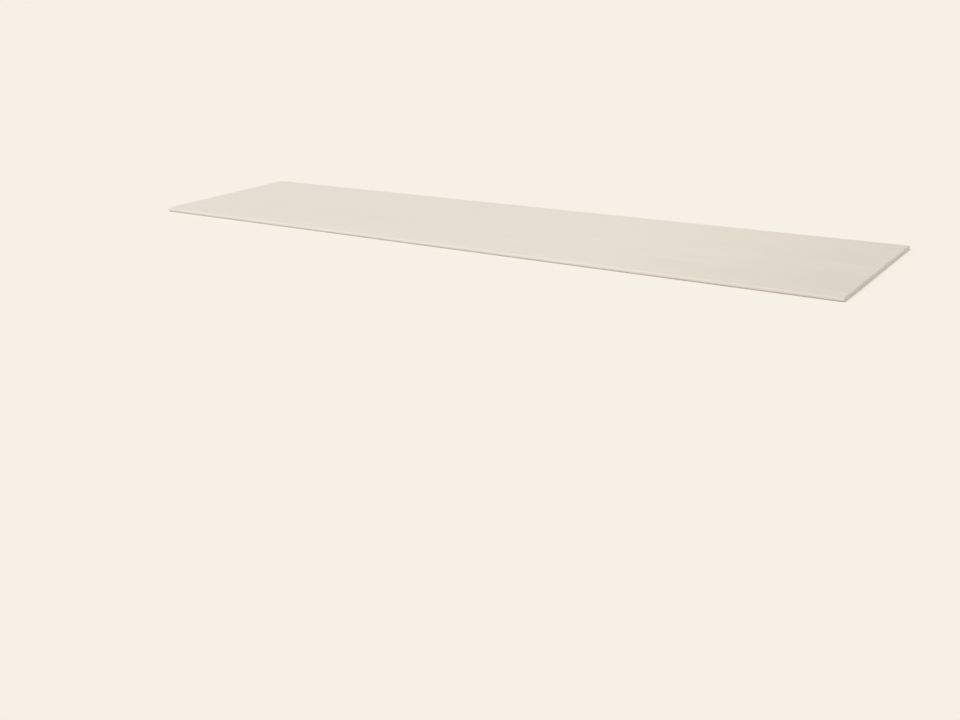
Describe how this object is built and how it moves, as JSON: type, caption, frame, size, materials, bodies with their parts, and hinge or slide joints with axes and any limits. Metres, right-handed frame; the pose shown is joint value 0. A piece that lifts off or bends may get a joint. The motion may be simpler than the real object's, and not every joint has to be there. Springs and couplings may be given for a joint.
{
  "type": "drywall sheet",
  "caption": "Flat paper-faced gypsum board with half-round tapered long edges, square-cut ends and the face paper lapped under onto the back.",
  "frame": {"origin": "middle of the back liner, which is the face that the sheet lies on", "axes": "+X along the length, +Y across the width, +Z out of the face side"},
  "size_m": [2.5, 0.6, 0.0125],
  "materials": {
    "face_paper": "matte"
  },
  "bodies": {
    "root": {"drywall_sheet": "face_paper"}
  },
  "joints": []
}
